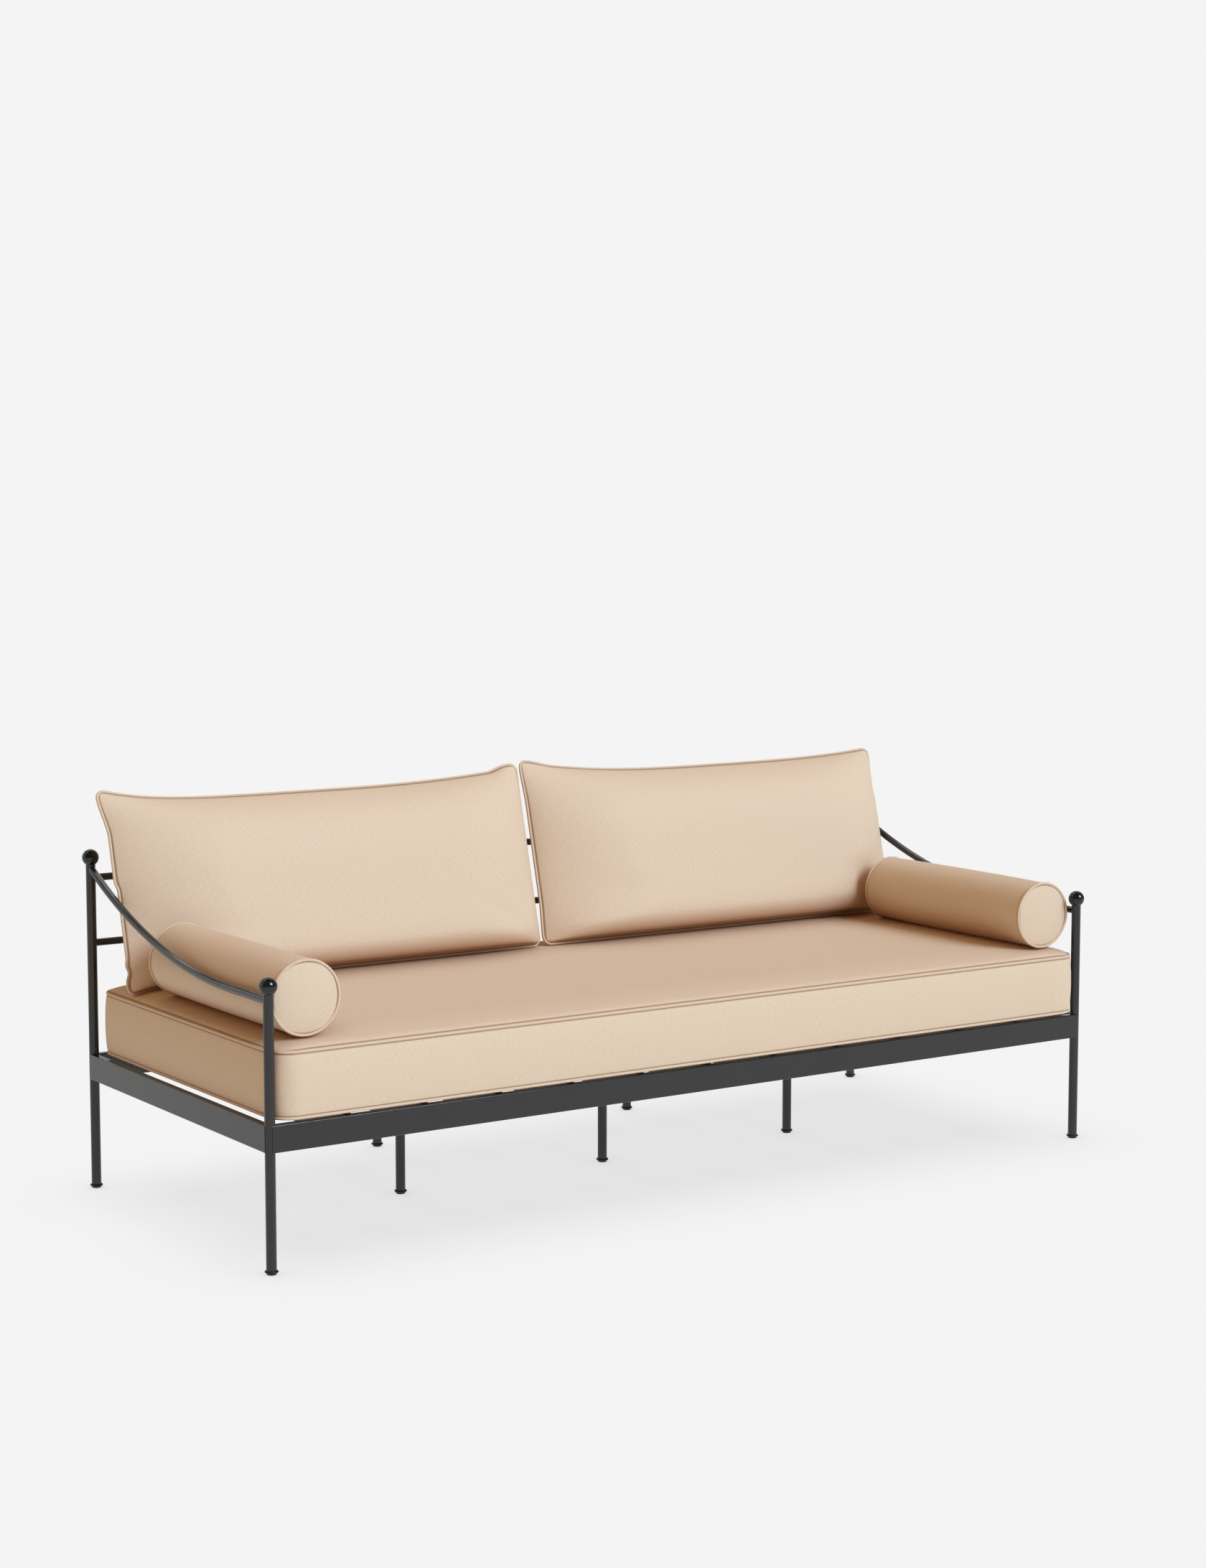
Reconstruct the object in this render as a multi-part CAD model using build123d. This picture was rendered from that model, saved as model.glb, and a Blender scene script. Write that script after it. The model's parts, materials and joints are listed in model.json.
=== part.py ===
from build123d import *
import os
from math import cos, radians, sin, sqrt

# Outdoor three-seat sofa: a welded tube frame on nine feet carries a bench seat cushion,
# two leaning back cushions and two bolsters. Sizes are millimetres. X runs along the sofa,
# the front faces -Y, Z is up, and the origin is on the floor under the middle foot.

# Plan of the frame, from post centre to post centre
POST_SPAN_X = 2100.0
POST_SPAN_Y = 832.0

# Posts and legs: round tube
POST_D = 21.0
POST_WALL = 2.0

# Ball finials, each on a stub that plugs into its post
BALL_D = 36.4
FRONT_BALL_Z = 567.0
BACK_BALL_Z = 726.0
STUB_LENGTH = 14.0

# Seat rails: rectangular tube whose outer face stands a little proud of the posts
RAIL_TOP = 296.0
RAIL_H = 55.0
RAIL_W = 17.0
RAIL_WALL = 2.0
RAIL_EDGE_R = 2.5
RAIL_PROUD = 1.0

# Seat slats: rectangular tube, front rail to back rail
SLAT_COUNT = 11
SLAT_W = 16.0
SLAT_H = 55.0
SLAT_WALL = 1.5
SLAT_EDGE_R = 2.0

# Which slats stand on a middle leg, and which slats mark the back legs and back struts
MIDDLE_LEG_SLATS = {"left": 2, "centre": 5, "right": 8}
BACK_LEG_SLATS = {"left": 3, "right": 7}

# Arms: round tube, level at the front and sweeping up to the back post on one arc
ARM_D = 16.0
ARM_WALL = 1.5
ARM_FRONT_DROP = 28.0
ARM_BACK_DROP = 22.0
ARM_LEVEL_RUN = 156.0

# Back rods and the struts that carry them: round tube
ROD_D = 16.0
ROD_WALL = 1.5
UPPER_ROD_DROP = 44.0
ROD_PITCH = 142.0
STRUT_D = 16.0
STRUT_WALL = 1.5

# Feet: moulded glides with a domed collar and a plug inside the tube
FOOT_COLLAR_D = 27.4
FOOT_COLLAR_Z = 5.4
FOOT_TREAD_D = 15.0
FOOT_NECK_D = 20.4
FOOT_NECK_Z = 2.6
FOOT_TOP_Z = 8.4
FOOT_LIP = 0.6
PLUG_LENGTH = 22.0
PLUG_CHAMFER = 1.5

# Clearances
WELD_GAP = 0.05
PLUG_GAP = 0.15
REST_GAP = 0.3
BOLSTER_REST_GAP = 0.5
ROD_REST_GAP = 0.6

# Piping, the same cord on every cushion
PIPING_D = 9.0
PIPING_GAP = 0.3

# Seat cushion: a box cushion with crowned panels, measured over its piping
SEAT_POST_GAP = 1.7
SEAT_FRONT_OVERHANG = 10.5
SEAT_BACK_GAP = 6.0
SEAT_CORNER_R = 54.0
SEAT_SEAM_H = 130.0
SEAT_BOTTOM_CROWN = 9.7
SEAT_BOTTOM_RUN = 60.0
SEAT_TOP_CROWN = 24.0
BOXING_BULGE = 3.5
BOXING_CORNER_EASE = 14.0
# Crown of the top panel: distance in from the edge, and share of the full crown there
SEAT_CROWN_RUN = (18.0, 55.0, 120.0, 220.0)
SEAT_CROWN_RISE = (0.40, 0.68, 0.87, 1.0)

# Bolsters: crowned cylinders with a ring of piping round each end disc
BOLSTER_D = 157.0
BOLSTER_FRONT_INSET = 39.5
BOLSTER_BACK_GAP = 94.0
BOLSTER_ARM_GAP = 3.5
BOLSTER_CROWN = 3.8
BOLSTER_END_DOME = 8.0
BOLSTER_DISC_EDGE = 2.0

# Back cushions: knife-edge cushions with drawn-in edges, measured over their piping
BACK_ARM_GAP = 2.0
BACK_MIDDLE_GAP = 12.0
BACK_TOP_FLARE = 4.0
BACK_H = 436.0
BACK_LEAN = 14.5
BACK_SEAT_INSET = 154.0
BACK_FRONT_FILL = 92.0
BACK_TOP_DRAW = 24.0
BACK_BOTTOM_DRAW = 8.0
BACK_SIDE_DRAW = 10.0
BACK_CORNER_R = 16.0
BACK_CORNER_GROWTH = 0.25
# Swell of a back cushion's half: distance in from the piping's outside, and share of the fill
BACK_SWELL_RUN = (17.0, 45.0, 92.0, 145.0, 196.0)
BACK_SWELL_RISE = (0.16, 0.45, 0.72, 0.9, 1.0)
# How fast the drawn-in edges fill out as the cushion swells
BACK_DRAW_FADE = 1.25

# Values that follow from the sizes above
POST_X = POST_SPAN_X / 2
POST_Y = POST_SPAN_Y / 2
POST_R = POST_D / 2
BALL_R = BALL_D / 2
BALL_FLAT = sqrt(BALL_R**2 - POST_R**2)
RAIL_OUT = POST_R + RAIL_PROUD
RAIL_BOTTOM = RAIL_TOP - RAIL_H
RAIL_INNER_Y = POST_Y + RAIL_OUT - RAIL_W
SLAT_BOTTOM = RAIL_TOP - SLAT_H
SLAT_PITCH = POST_SPAN_X / (SLAT_COUNT + 1)
UPPER_ROD_Z = BACK_BALL_Z - UPPER_ROD_DROP
LOWER_ROD_Z = UPPER_ROD_Z - ROD_PITCH
PIPING_R = PIPING_D / 2
GROOVE = PIPING_D + PIPING_GAP

SEAT_FRONT_Y = -(POST_Y + RAIL_OUT + SEAT_FRONT_OVERHANG)
# The seat runs out past the posts' inner faces until its round front corners just clear the posts
CORNER_TO_POST = SEAT_CORNER_R + POST_R + SEAT_POST_GAP
CORNER_TO_POST_Y = POST_Y + SEAT_FRONT_Y + SEAT_CORNER_R
SEAT_HALF_X = POST_X - sqrt(CORNER_TO_POST**2 - CORNER_TO_POST_Y**2) + SEAT_CORNER_R
SEAT_BACK_Y = POST_Y - ROD_D / 2 - SEAT_BACK_GAP
SEAT_BOTTOM = RAIL_TOP + REST_GAP
LOWER_SEAM_Z = SEAT_BOTTOM + SEAT_BOTTOM_CROWN
UPPER_SEAM_Z = LOWER_SEAM_Z + SEAT_SEAM_H
BACK_FOOT_Y = SEAT_BACK_Y - BACK_SEAT_INSET

BOLSTER_FRONT_Y = SEAT_FRONT_Y + BOLSTER_FRONT_INSET
BOLSTER_LENGTH = BACK_FOOT_Y - BOLSTER_BACK_GAP - BOLSTER_FRONT_Y

BACK_BOTTOM_W = POST_X - ARM_D / 2 - BACK_ARM_GAP - BACK_MIDDLE_GAP / 2
BACK_TOP_W = BACK_BOTTOM_W + 2 * BACK_TOP_FLARE
BACK_SWELL = list(zip(BACK_SWELL_RUN, BACK_SWELL_RISE))

SIDES = {"left": -1, "right": 1}
ENDS = {"front": -1, "back": 1}


def interpolate(x, xs, ys):
    """Value at x on the straight runs through the points (xs, ys), level beyond both ends."""
    if x <= xs[0]:
        return ys[0]
    for x0, x1, y0, y1 in zip(xs, xs[1:], ys, ys[1:]):
        if x <= x1:
            return y0 + (y1 - y0) * (x - x0) / (x1 - x0)
    return ys[-1]


def round_tube(diameter, wall, length):
    """Round tube standing on the origin along +Z."""
    ring = Circle(diameter / 2) - Circle(diameter / 2 - wall)
    return extrude(ring, amount=length)


def box_tube_section(width, height, wall, edge_radius):
    """Section of a rectangular tube with rounded outer edges."""
    return RectangleRounded(width, height, edge_radius) - Rectangle(width - 2 * wall, height - 2 * wall)


def post_core(x, y):
    """Solid column a weld gap larger than the post at (x, y), used to cope what meets the post."""
    height = BACK_BALL_Z + BALL_D
    return Pos(x, y, 0) * Cylinder(POST_R + WELD_GAP, height, align=(Align.CENTER, Align.CENTER, Align.MIN))


def rod_core(z):
    """Solid bar a weld gap larger than the back rod at height z, used to cope the struts."""
    bar = Cylinder(ROD_D / 2 + WELD_GAP, POST_SPAN_X)
    return Pos(0, POST_Y, z) * Rot(0, 90, 0) * bar


def slat_x(index):
    """Middle of a slat, counted from the left."""
    return (index + 1) * SLAT_PITCH - POST_X


def swept_loop(path, diameter):
    """Round cord along a closed flat path."""
    section = Plane(origin=path @ 0, z_dir=path % 0) * Circle(diameter / 2)
    return sweep(section, path=path)


def foot(x, y):
    """Glide: rounded tread, flared neck, domed collar and the plug inside the tube."""
    plug_r = POST_R - POST_WALL - PLUG_GAP
    tread_r = FOOT_TREAD_D / 2
    neck_r = FOOT_NECK_D / 2
    collar_r = FOOT_COLLAR_D / 2
    lip_r = POST_R + FOOT_LIP
    plug_top = FOOT_TOP_Z + PLUG_LENGTH
    tread_mid = (tread_r + 0.75 * (neck_r - tread_r), 0.3 * FOOT_NECK_Z)
    dome_mid = (lip_r + 0.85 * (collar_r - lip_r), FOOT_COLLAR_Z + 0.6 * (FOOT_TOP_Z - FOOT_COLLAR_Z))
    outline = [
        Line((0, 0), (tread_r, 0)),
        ThreePointArc((tread_r, 0), tread_mid, (neck_r, FOOT_NECK_Z)),
        Line((neck_r, FOOT_NECK_Z), (collar_r, FOOT_COLLAR_Z)),
        ThreePointArc((collar_r, FOOT_COLLAR_Z), dome_mid, (lip_r, FOOT_TOP_Z)),
        Polyline(
            (lip_r, FOOT_TOP_Z),
            (plug_r, FOOT_TOP_Z),
            (plug_r, plug_top - PLUG_CHAMFER),
            (plug_r - PLUG_CHAMFER, plug_top),
            (0, plug_top),
            (0, 0),
        ),
    ]
    profile = make_face([Plane.XZ * edge for edge in outline])
    return Pos(x, y, 0) * revolve(profile, axis=Axis.Z)


def post(x, y, ball_z):
    """Corner post from its foot's collar to the flat under its ball."""
    return Pos(x, y, FOOT_TOP_Z) * round_tube(POST_D, POST_WALL, ball_z - BALL_FLAT - FOOT_TOP_Z)


def ball_finial(x, y, z):
    """Ball cut flat where it meets the post, with a stub inside the tube."""
    top_aligned = (Align.CENTER, Align.CENTER, Align.MAX)
    cap = Pos(0, 0, -BALL_FLAT) * Cylinder(BALL_R, BALL_R, align=top_aligned)
    stub = Pos(0, 0, -BALL_FLAT) * Cylinder(POST_R - POST_WALL - PLUG_GAP, STUB_LENGTH, align=top_aligned)
    return Pos(x, y, z) * (Sphere(BALL_R) - cap + stub)


def long_rail(side):
    """Front (side -1) or back (side 1) rail, coped round the posts."""
    section = box_tube_section(RAIL_W, RAIL_H, RAIL_WALL, RAIL_EDGE_R)
    rail_y = side * (POST_Y + RAIL_OUT - RAIL_W / 2)
    rail = Pos(0, rail_y, RAIL_TOP - RAIL_H / 2) * extrude(Plane.YZ * section, amount=POST_X, both=True)
    return rail - post_core(-POST_X, side * POST_Y) - post_core(POST_X, side * POST_Y)


def side_rail(side):
    """Left (side -1) or right (side 1) rail, coped round the posts."""
    section = box_tube_section(RAIL_W, RAIL_H, RAIL_WALL, RAIL_EDGE_R)
    rail_x = side * (POST_X + RAIL_OUT - RAIL_W / 2)
    rail = Pos(rail_x, 0, RAIL_TOP - RAIL_H / 2) * extrude(Plane.XZ * section, amount=POST_Y, both=True)
    return rail - post_core(side * POST_X, -POST_Y) - post_core(side * POST_X, POST_Y)


def slat(index):
    """Slat between the inner faces of the front and back rails, level with their tops."""
    section = box_tube_section(SLAT_W, SLAT_H, SLAT_WALL, SLAT_EDGE_R)
    bar = extrude(Plane.XZ * section, amount=RAIL_INNER_Y, both=True)
    return Pos(slat_x(index), 0, RAIL_TOP - SLAT_H / 2) * bar


def arm(side):
    """Arm tube: level run from the front post, then one tangent arc up to the back post."""
    x = side * POST_X
    front_z = FRONT_BALL_Z - ARM_FRONT_DROP
    bend = (x, -POST_Y + ARM_LEVEL_RUN, front_z)
    level = Line((x, -POST_Y, front_z), bend)
    sweep_up = TangentArc(bend, (x, POST_Y, BACK_BALL_Z - ARM_BACK_DROP), tangent=(0, 1, 0))
    ring = Circle(ARM_D / 2) - Circle(ARM_D / 2 - ARM_WALL)
    tube = sweep(Plane(origin=level @ 0, z_dir=level % 0) * ring, path=Wire([level, sweep_up]))
    back_ball = Pos(x, POST_Y, BACK_BALL_Z) * Sphere(BALL_R + WELD_GAP)
    return tube - post_core(x, -POST_Y) - post_core(x, POST_Y) - back_ball


def back_rod(z):
    """Horizontal back rod between the two back posts."""
    rod = Pos(-POST_X, POST_Y, z) * Rot(0, 90, 0) * round_tube(ROD_D, ROD_WALL, POST_SPAN_X)
    return rod - post_core(-POST_X, POST_Y) - post_core(POST_X, POST_Y)


def lower_strut(x):
    """Strut from the back rail up to the lower back rod."""
    strut = Pos(x, POST_Y, RAIL_TOP) * round_tube(STRUT_D, STRUT_WALL, LOWER_ROD_Z - RAIL_TOP)
    return strut - rod_core(LOWER_ROD_Z)


def upper_strut(x):
    """Strut between the two back rods."""
    strut = Pos(x, POST_Y, LOWER_ROD_Z) * round_tube(STRUT_D, STRUT_WALL, ROD_PITCH)
    return strut - rod_core(LOWER_ROD_Z) - rod_core(UPPER_ROD_Z)


def seat_outline(z, inset, corner_radius):
    """Rounded rectangle of the seat cushion, drawn in from its piping's outside by inset."""
    width = 2 * (SEAT_HALF_X - inset)
    depth = SEAT_BACK_Y - SEAT_FRONT_Y - 2 * inset
    return Pos(0, (SEAT_FRONT_Y + SEAT_BACK_Y) / 2, z) * RectangleRounded(width, depth, corner_radius)


def seat_crown_z(inset):
    """Height of the seat's top panel at a distance in from its edge."""
    run = (GROOVE,) + SEAT_CROWN_RUN
    rise = (PIPING_R / SEAT_TOP_CROWN,) + SEAT_CROWN_RISE
    return UPPER_SEAM_Z + SEAT_TOP_CROWN * interpolate(inset, run, rise)


def seat_cushion():
    """Box cushion: crowned bottom and top panels, bulged boxing, grooves where the piping lies."""
    groove_r = SEAT_CORNER_R - GROOVE
    seam_r = SEAT_CORNER_R - PIPING_R
    bulge_r = SEAT_CORNER_R + BOXING_CORNER_EASE
    low = LOWER_SEAM_Z + PIPING_R
    high = UPPER_SEAM_Z - PIPING_R
    third = (high - low) / 3
    sections = [
        seat_outline(SEAT_BOTTOM, SEAT_BOTTOM_RUN, groove_r),
        seat_outline(LOWER_SEAM_Z - PIPING_R, GROOVE, groove_r),
        seat_outline(low, GROOVE, groove_r),
        seat_outline(low + PIPING_GAP, PIPING_R, seam_r),
        seat_outline(low + third, -0.8 * BOXING_BULGE, bulge_r),
        seat_outline((low + high) / 2, -BOXING_BULGE, bulge_r),
        seat_outline(high - third, -0.8 * BOXING_BULGE, bulge_r),
        seat_outline(high - PIPING_GAP, PIPING_R, seam_r),
        seat_outline(high, GROOVE, groove_r),
        seat_outline(UPPER_SEAM_Z + PIPING_R, GROOVE, groove_r),
    ]
    sections += [seat_outline(seat_crown_z(run), run, groove_r) for run in SEAT_CROWN_RUN]
    return loft(sections, ruled=True)


def seat_piping(z):
    """Loop of piping round the seat cushion at a seam."""
    return swept_loop(seat_outline(z, PIPING_R, SEAT_CORNER_R - PIPING_R).wire(), PIPING_D)


def bolster_place(side):
    """Frame at the middle of a bolster, Z along its length towards the back."""
    x = side * (POST_X - ARM_D / 2 - BOLSTER_ARM_GAP - BOLSTER_D / 2)
    y = BOLSTER_FRONT_Y + BOLSTER_LENGTH / 2
    z = seat_crown_z(SEAT_HALF_X - abs(x)) + BOLSTER_REST_GAP + BOLSTER_D / 2
    return Pos(x, y, z) * Rot(-90, 0, 0)


def bolster(side):
    """Crowned cylinder with domed end discs and a groove where each ring of piping lies."""
    groove_r = BOLSTER_D / 2 - GROOVE
    seam_r = BOLSTER_D / 2 - PIPING_R
    end = BOLSTER_LENGTH / 2
    disc_edge = end + BOLSTER_DISC_EDGE
    apex = end + BOLSTER_END_DOME
    shoulder = end - PIPING_R - PIPING_GAP
    edges = [
        TangentArc((0, apex), (groove_r, disc_edge), tangent=(1, 0)),
        Polyline((groove_r, disc_edge), (groove_r, shoulder), (seam_r, shoulder)),
        ThreePointArc((seam_r, shoulder), (seam_r + BOLSTER_CROWN, 0), (seam_r, -shoulder)),
        Polyline((seam_r, -shoulder), (groove_r, -shoulder), (groove_r, -disc_edge)),
        TangentArc((0, -apex), (groove_r, -disc_edge), tangent=(1, 0)),
        Line((0, -apex), (0, apex)),
    ]
    profile = make_face([Plane.XZ * edge for edge in edges])
    return bolster_place(side) * revolve(profile, axis=Axis.Z)


def bolster_piping(side):
    """The two rings of piping of one bolster."""
    ring = Torus(BOLSTER_D / 2 - PIPING_R, PIPING_R)
    rings = [bolster_place(side) * Pos(0, 0, end * BOLSTER_LENGTH / 2) * ring for end in ENDS.values()]
    return Compound(children=rings)


def drawn_in(depth, length, from_middle, share):
    """How far an edge is drawn in at a distance from its middle; below zero it bows outwards."""
    return depth * (1 - (2 * from_middle / length) ** 2) * (1 - BACK_DRAW_FADE * share)


def back_outline(inset, share):
    """Drawn-in outline of a back cushion, inset from its piping, at a share of its swell."""
    half_h = BACK_H / 2 - inset
    corner_draw = drawn_in(BACK_SIDE_DRAW, BACK_H, half_h, share)
    bottom_x = BACK_BOTTOM_W / 2 - inset - corner_draw
    top_x = BACK_TOP_W / 2 - inset - corner_draw
    middle_x = (bottom_x + top_x) / 2 + corner_draw - drawn_in(BACK_SIDE_DRAW, BACK_H, 0, share)
    bottom_y = drawn_in(BACK_BOTTOM_DRAW, BACK_BOTTOM_W, bottom_x, share) - half_h
    top_y = half_h - drawn_in(BACK_TOP_DRAW, BACK_TOP_W, top_x, share)
    bottom_middle_y = drawn_in(BACK_BOTTOM_DRAW, BACK_BOTTOM_W, 0, share) - half_h
    top_middle_y = half_h - drawn_in(BACK_TOP_DRAW, BACK_TOP_W, 0, share)
    corners = [(-bottom_x, bottom_y), (bottom_x, bottom_y), (top_x, top_y), (-top_x, top_y)]
    middles = [(0, bottom_middle_y), (middle_x, 0), (0, top_middle_y), (-middle_x, 0)]
    edges = [ThreePointArc(a, m, b) for a, m, b in zip(corners, middles, corners[1:] + corners[:1])]
    face = make_face(edges)
    corner_r = min(BACK_CORNER_R + BACK_CORNER_GROWTH * inset, 0.9 * half_h)
    return fillet(face.vertices(), corner_r)


def back_place(side):
    """Frame at the middle of a back cushion's edge plane: X along it, Y up it, Z to the front."""
    lean = radians(BACK_LEAN)
    x = side * (BACK_MIDDLE_GAP + BACK_BOTTOM_W) / 2
    half_path = BACK_H / 2 - PIPING_R
    foot_z = seat_crown_z(BACK_SEAT_INSET) + REST_GAP + PIPING_R
    origin = (x, BACK_FOOT_Y + half_path * sin(lean), foot_z + half_path * cos(lean))
    return Plane(origin=origin, x_dir=(1, 0, 0), z_dir=(0, -cos(lean), sin(lean)))


def back_rear_fill(side):
    """Fill of the rear half, so that the cushion just rests against the upper back rod."""
    rod = back_place(side).to_local_coords(Vector(0, POST_Y, UPPER_ROD_Z))
    heights = [
        BACK_H / 2 - run - drawn_in(BACK_TOP_DRAW, BACK_TOP_W, 0, share) for run, share in BACK_SWELL
    ]
    share_at_rod = interpolate(rod.Y, heights[::-1], BACK_SWELL_RISE[::-1])
    return (-rod.Z - ROD_D / 2 - ROD_REST_GAP) / share_at_rod


def back_cushion(side):
    """Knife-edge cushion: two swelling halves that meet at the piping."""
    rear_fill = back_rear_fill(side)
    rear = [Pos(0, 0, -rear_fill * share) * back_outline(run, share) for run, share in BACK_SWELL]
    edge = [Pos(0, 0, 0) * back_outline(GROOVE, 0)]
    front = [Pos(0, 0, BACK_FRONT_FILL * share) * back_outline(run, share) for run, share in BACK_SWELL]
    return back_place(side) * loft(rear[::-1] + edge + front, ruled=True)


def back_piping(side):
    """Loop of piping round the knife edge of a back cushion."""
    path = back_outline(PIPING_R, 0).wire()
    return back_place(side) * swept_loop(path, PIPING_D)


parts = {}
for end_name, end in ENDS.items():
    ball_z = FRONT_BALL_Z if end < 0 else BACK_BALL_Z
    parts[f"{end_name}_rail"] = long_rail(end)
    for side_name, side in SIDES.items():
        corner = (side * POST_X, end * POST_Y)
        parts[f"{end_name}_{side_name}_post"] = post(*corner, ball_z)
        parts[f"{end_name}_{side_name}_ball"] = ball_finial(*corner, ball_z)
        parts[f"{end_name}_{side_name}_foot"] = foot(*corner)

for index in range(SLAT_COUNT):
    parts[f"slat_{index + 1:02d}"] = slat(index)

for leg_name, index in MIDDLE_LEG_SLATS.items():
    place = Pos(slat_x(index), 0, FOOT_TOP_Z)
    parts[f"middle_{leg_name}_leg"] = place * round_tube(POST_D, POST_WALL, SLAT_BOTTOM - FOOT_TOP_Z)
    parts[f"middle_{leg_name}_foot"] = foot(slat_x(index), 0)

for side_name, index in BACK_LEG_SLATS.items():
    place = Pos(slat_x(index), POST_Y, FOOT_TOP_Z)
    parts[f"back_{side_name}_leg"] = place * round_tube(POST_D, POST_WALL, RAIL_BOTTOM - FOOT_TOP_Z)
    parts[f"back_{side_name}_leg_foot"] = foot(slat_x(index), POST_Y)
    parts[f"lower_{side_name}_strut"] = lower_strut(slat_x(index))
    parts[f"upper_{side_name}_strut"] = upper_strut(slat_x(index))

parts["upper_back_rod"] = back_rod(UPPER_ROD_Z)
parts["lower_back_rod"] = back_rod(LOWER_ROD_Z)

parts["seat_cushion"] = seat_cushion()
parts["seat_upper_piping"] = seat_piping(UPPER_SEAM_Z)
parts["seat_lower_piping"] = seat_piping(LOWER_SEAM_Z)

for side_name, side in SIDES.items():
    parts[f"{side_name}_rail"] = side_rail(side)
    parts[f"{side_name}_arm"] = arm(side)
    parts[f"{side_name}_bolster"] = bolster(side)
    parts[f"{side_name}_bolster_piping"] = bolster_piping(side)
    parts[f"{side_name}_back_cushion"] = back_cushion(side)
    parts[f"{side_name}_back_piping"] = back_piping(side)

os.makedirs("parts", exist_ok=True)
for name, shape in parts.items():
    export_step(shape, f"parts/{name}.step")
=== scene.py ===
"""Looks of an outdoor sofa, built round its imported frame.

The tube frame keeps its solids and gets its coatings. The seat cushion, the back cushions and the
bolsters are sewn covers: each starts as a surface worked out on a grid, is swollen by a cloth
simulation with its seams held, and then gets its piping. Lengths are metres unless a name ends in mm.
"""
import json
import logging
import math
from dataclasses import dataclass
from enum import Enum

import bpy
import numpy as np
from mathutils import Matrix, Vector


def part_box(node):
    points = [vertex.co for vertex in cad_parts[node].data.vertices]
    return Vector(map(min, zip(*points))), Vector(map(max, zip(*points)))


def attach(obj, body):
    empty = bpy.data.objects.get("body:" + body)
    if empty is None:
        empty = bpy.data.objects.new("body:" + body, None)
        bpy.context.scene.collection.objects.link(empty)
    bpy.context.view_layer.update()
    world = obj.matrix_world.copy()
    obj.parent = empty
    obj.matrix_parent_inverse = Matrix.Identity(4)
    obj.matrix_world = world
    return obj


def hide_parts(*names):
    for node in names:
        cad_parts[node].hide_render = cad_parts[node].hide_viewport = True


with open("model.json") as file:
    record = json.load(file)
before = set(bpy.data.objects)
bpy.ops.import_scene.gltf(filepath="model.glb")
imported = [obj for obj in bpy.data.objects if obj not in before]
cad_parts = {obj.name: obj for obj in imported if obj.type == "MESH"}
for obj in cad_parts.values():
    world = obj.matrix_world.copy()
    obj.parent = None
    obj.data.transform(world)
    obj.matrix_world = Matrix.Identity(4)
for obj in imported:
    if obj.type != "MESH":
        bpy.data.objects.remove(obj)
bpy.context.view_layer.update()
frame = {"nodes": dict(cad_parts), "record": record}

MM = 0.001
CLOTH_UV = "cloth"
SEAM_DISTANCE = "seam_distance"
UP = np.array([0.0, 0.0, 1.0])
# Thickness of the frame's piping solids, whose middle lines are the seams.
CORD = 9.0 * MM

Tree = bpy.types.NodeTree
Socket = bpy.types.NodeSocket
Span = tuple[float, float]

log = logging.getLogger("outdoor_sofa")


class Side(Enum):
    """Side of the sofa, seen from the front, with its sign along X."""

    LEFT = -1
    RIGHT = 1

    @property
    def label(self) -> str:
        """Word that the frame's node names use for this side."""
        return self.name.lower()


class Weave(Enum):
    """How the cover's cloth lies: square to the panel, or cut on the bias round a cord."""

    PANEL = 0.0
    BIAS = 45.0


def linear(hex_colour: str) -> tuple[float, float, float, float]:
    """Turn an sRGB hex colour into linear RGBA.

    Args:
        hex_colour: Six hex digits after a hash sign.

    Returns:
        Linear red, green and blue, and an alpha of 1.
    """
    srgb = np.array([int(hex_colour[i : i + 2], 16) / 255 for i in (1, 3, 5)])
    rgb = np.where(srgb <= 0.04045, srgb / 12.92, ((srgb + 0.055) / 1.055) ** 2.4)
    return (*rgb.tolist(), 1.0)


def add_node(
    tree: Tree, kind: str, settings: dict | None = None, inputs: dict | None = None
) -> bpy.types.Node:
    """Add a shader node.

    Args:
        tree: Node tree that takes the node.
        kind: Blender's identifier of the node.
        settings: Attributes of the node and their values.
        inputs: Socket names or numbers, each with a constant or with the socket that feeds it.

    Returns:
        The new node.
    """
    node = tree.nodes.new(kind)
    for name, value in (settings or {}).items():
        setattr(node, name, value)
    for key, value in (inputs or {}).items():
        if isinstance(value, Socket):
            tree.links.new(value, node.inputs[key])
        else:
            node.inputs[key].default_value = value
    return node


def empty_material(name: str) -> tuple[bpy.types.Material, Tree]:
    """Start a material with no nodes.

    Args:
        name: Name of the material.

    Returns:
        The material and its node tree.
    """
    material = bpy.data.materials.new(name)
    material.use_nodes = True
    material.node_tree.nodes.clear()
    return material, material.node_tree


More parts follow.
